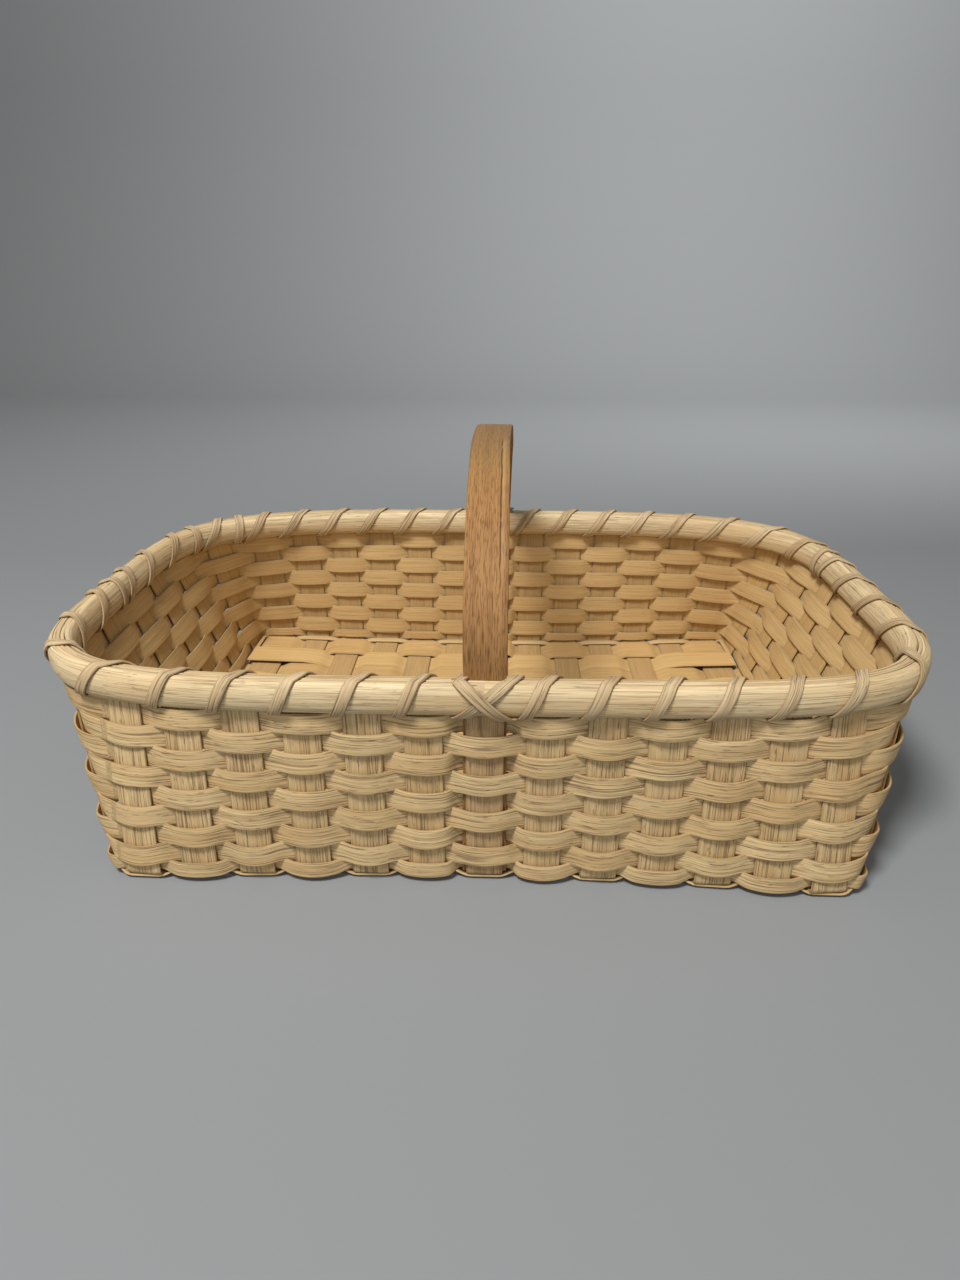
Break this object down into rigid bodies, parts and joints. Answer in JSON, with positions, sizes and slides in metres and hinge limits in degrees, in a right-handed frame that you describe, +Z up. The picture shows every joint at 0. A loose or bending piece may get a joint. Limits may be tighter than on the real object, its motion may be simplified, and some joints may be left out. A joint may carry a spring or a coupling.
{
  "type": "split-reed market basket",
  "caption": "Rectangular woven market basket of split reed with flared ends, a lashed half-round rim and a fixed oak handle.",
  "frame": {"origin": "centre of the basket on the floor it stands on", "axes": "+X along the long side to the right, +Y towards the back wall across the handle, +Z up"},
  "size_m": [0.4102, 0.2532, 0.1745],
  "materials": {
    "cross_stake": "raw reed, dry and matte",
    "long_stake": "raw reed, dry and matte",
    "floor_filler": "raw reed, dry and matte",
    "weaver": "raw reed, dry and matte",
    "locking_row": "raw reed, dry and matte",
    "rim_band": "raw half-round reed, smooth",
    "rim_filler": "raw reed, dry and matte",
    "lashing": "raw flat reed, slight sheen",
    "oak": "stained oak, open grain, slight sheen"
  },
  "bodies": {
    "root": {"cross_stake_01": "cross_stake", "cross_stake_02": "cross_stake", "cross_stake_03": "cross_stake", "cross_stake_04": "cross_stake", "cross_stake_05": "cross_stake", "cross_stake_06": "cross_stake", "cross_stake_07": "cross_stake", "cross_stake_08": "cross_stake", "cross_stake_09": "cross_stake", "cross_stake_10": "cross_stake", "cross_stake_11": "cross_stake", "cross_stake_12": "cross_stake", "cross_stake_13": "cross_stake", "long_stake_1": "long_stake", "long_stake_2": "long_stake", "long_stake_3": "long_stake", "long_stake_4": "long_stake", "long_stake_5": "long_stake", "long_stake_6": "long_stake", "long_stake_7": "long_stake", "floor_filler_1": "floor_filler", "floor_filler_2": "floor_filler", "floor_filler_3": "floor_filler", "floor_filler_4": "floor_filler", "floor_filler_5": "floor_filler", "floor_filler_6": "floor_filler", "locking_row": "locking_row", "weaver_row_1": "weaver", "weaver_row_2": "weaver", "weaver_row_3": "weaver", "weaver_row_4": "weaver", "weaver_row_5": "weaver", "weaver_row_6": "weaver", "weaver_row_7": "weaver", "weaver_row_8": "weaver", "weaver_row_9": "weaver", "rim_band_outer": "rim_band", "rim_band_inner": "rim_band", "rim_filler": "rim_filler", "rim_lashing": "lashing", "handle_tie_front": "lashing", "handle_tie_back": "lashing", "handle": "oak"}
  },
  "joints": []
}
